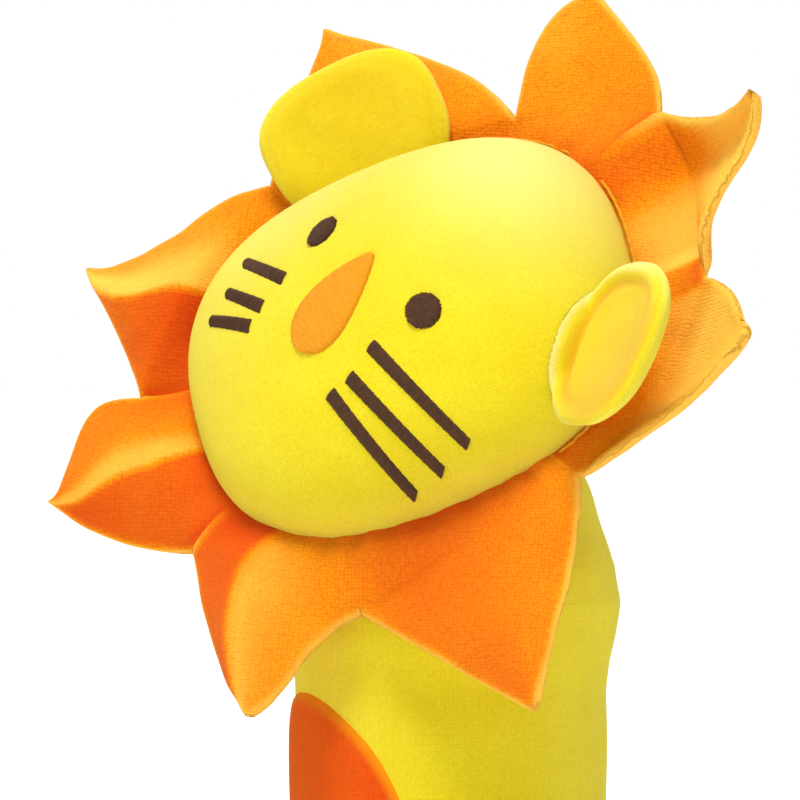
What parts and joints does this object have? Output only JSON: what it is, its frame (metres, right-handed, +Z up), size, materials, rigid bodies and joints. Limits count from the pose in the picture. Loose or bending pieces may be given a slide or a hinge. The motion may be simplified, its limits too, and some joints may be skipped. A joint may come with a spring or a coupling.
{
  "type": "stick puppet",
  "caption": "Soft stick puppet: an upright padded tube body with a patch on its front, and a tilted round animal head with folding ears and a mane of pointed cloth petals.",
  "frame": {"origin": "middle of the flat base disc, on the body's axis", "axes": "+Z up the body; the belly patch faces -Y; the lion's left is +X. The head is turned 45 degrees to its left, tipped up 20 degrees and tilted over."},
  "size_m": [0.0906, 0.0856, 0.1703],
  "materials": {
    "yellow_plush": "matte",
    "orange_cloth": "matte",
    "red_orange_cloth": "matte",
    "orange_thread": "satin",
    "brown_thread": "satin",
    "yellow_thread": "satin",
    "white_fibre": "matte",
    "birch": "matte"
  },
  "bodies": {
    "body": {"body_sleeve": "yellow_plush", "belly_patch": "red_orange_cloth", "base_disc": "yellow_plush", "body_stuffing": "white_fibre", "core_stick": "birch"},
    "neck": {"neck_cuff": "yellow_plush"},
    "neck_seam": {"neck_stitching": "yellow_thread"},
    "head": {"face_panel": "yellow_plush", "head_back_panel": "yellow_plush", "head_stuffing": "white_fibre", "mane_band": "orange_cloth", "nose_patch": "orange_thread", "eye_left": "brown_thread", "eye_right": "brown_thread", "whisker_left_1": "brown_thread", "whisker_left_2": "brown_thread", "whisker_left_3": "brown_thread", "whisker_right_1": "brown_thread", "whisker_right_2": "brown_thread", "whisker_right_3": "brown_thread"},
    "ear_left": {"ear_left_front": "yellow_plush", "ear_left_back": "yellow_plush"},
    "ear_right": {"ear_right_front": "yellow_plush", "ear_right_back": "yellow_plush"},
    "mane_petal_1": {"mane_petal_1": "orange_cloth"},
    "mane_petal_2": {"mane_petal_2": "orange_cloth"},
    "mane_petal_3": {"mane_petal_3": "orange_cloth"},
    "mane_petal_4": {"mane_petal_4": "orange_cloth"},
    "mane_petal_5": {"mane_petal_5": "orange_cloth"},
    "mane_petal_6": {"mane_petal_6": "orange_cloth"},
    "mane_petal_7": {"mane_petal_7": "orange_cloth"},
    "mane_petal_8": {"mane_petal_8": "orange_cloth"}
  },
  "joints": [
    {"name": "neck_turn", "type": "hinge", "parent": "body", "child": "neck", "pos_m": [0, 0, 0.116], "axis": [0, 0, 1], "range_deg": [-12, 12], "stiffness_Nm_per_rad": 0.06, "deforming": ["neck_cuff", "neck_stitching"]},
    {"name": "head_lift", "type": "hinge", "parent": "neck", "child": "neck_seam", "pos_m": [0.00987, -0.00847, 0.116], "axis": [-0.7207, -0.4564, 0.5218], "range_deg": [0, 14], "stiffness_Nm_per_rad": 0.08},
    {"name": "head_tilt", "type": "hinge", "parent": "neck_seam", "child": "head", "pos_m": [0.00987, -0.00847, 0.116], "axis": [0.6662, -0.6642, 0.3391], "range_deg": [-10, 10], "stiffness_Nm_per_rad": 0.08},
    {"name": "ear_left_fold", "type": "hinge", "parent": "head", "child": "ear_left", "pos_m": [0.04034, 0.00901, 0.11396], "axis": [0.1179, -0.3552, -0.9273], "range_deg": [-14, 22], "stiffness_Nm_per_rad": 0.01},
    {"name": "ear_right_fold", "type": "hinge", "parent": "head", "child": "ear_right", "pos_m": [-0.00159, -0.01204, 0.14361], "axis": [0.6248, 0.7454, 0.2325], "range_deg": [-14, 22], "stiffness_Nm_per_rad": 0.01},
    {"name": "mane_petal_1_flap", "type": "hinge", "parent": "head", "child": "mane_petal_1", "pos_m": [0.01131, 0.011, 0.15131], "axis": [0.7456, 0.6027, -0.2842], "range_deg": [-20, 20], "stiffness_Nm_per_rad": 0.002},
    {"name": "mane_petal_2_flap", "type": "hinge", "parent": "head", "child": "mane_petal_2", "pos_m": [0.02958, 0.02041, 0.13384], "axis": [0.482, 0.0366, -0.8754], "range_deg": [-20, 14], "stiffness_Nm_per_rad": 0.002},
    {"name": "mane_petal_3_flap", "type": "hinge", "parent": "head", "child": "mane_petal_3", "pos_m": [0.03631, 0.0129, 0.10592], "axis": [-0.0358, -0.4827, -0.8751], "range_deg": [-16, 8], "stiffness_Nm_per_rad": 0.002},
    {"name": "mane_petal_4_flap", "type": "hinge", "parent": "head", "child": "mane_petal_4", "pos_m": [0.02754, -0.00713, 0.08391], "axis": [-0.5022, -0.7357, -0.4544], "range_deg": [0, 22], "stiffness_Nm_per_rad": 0.002},
    {"name": "mane_petal_5_flap", "type": "hinge", "parent": "head", "child": "mane_petal_5", "pos_m": [0.00843, -0.02794, 0.08069], "axis": [-0.7456, -0.6027, 0.2842], "range_deg": [0, 22], "stiffness_Nm_per_rad": 0.002},
    {"name": "mane_petal_6_flap", "type": "hinge", "parent": "head", "child": "mane_petal_6", "pos_m": [-0.00984, -0.03735, 0.09816], "axis": [-0.482, -0.0366, 0.8754], "range_deg": [-14, 20], "stiffness_Nm_per_rad": 0.002},
    {"name": "mane_petal_7_flap", "type": "hinge", "parent": "head", "child": "mane_petal_7", "pos_m": [-0.01657, -0.02984, 0.12608], "axis": [0.0358, 0.4827, 0.8751], "range_deg": [-18, 14], "stiffness_Nm_per_rad": 0.002},
    {"name": "mane_petal_8_flap", "type": "hinge", "parent": "head", "child": "mane_petal_8", "pos_m": [-0.0078, -0.00981, 0.14809], "axis": [0.5022, 0.7357, 0.4544], "range_deg": [-20, 8], "stiffness_Nm_per_rad": 0.002}
  ]
}
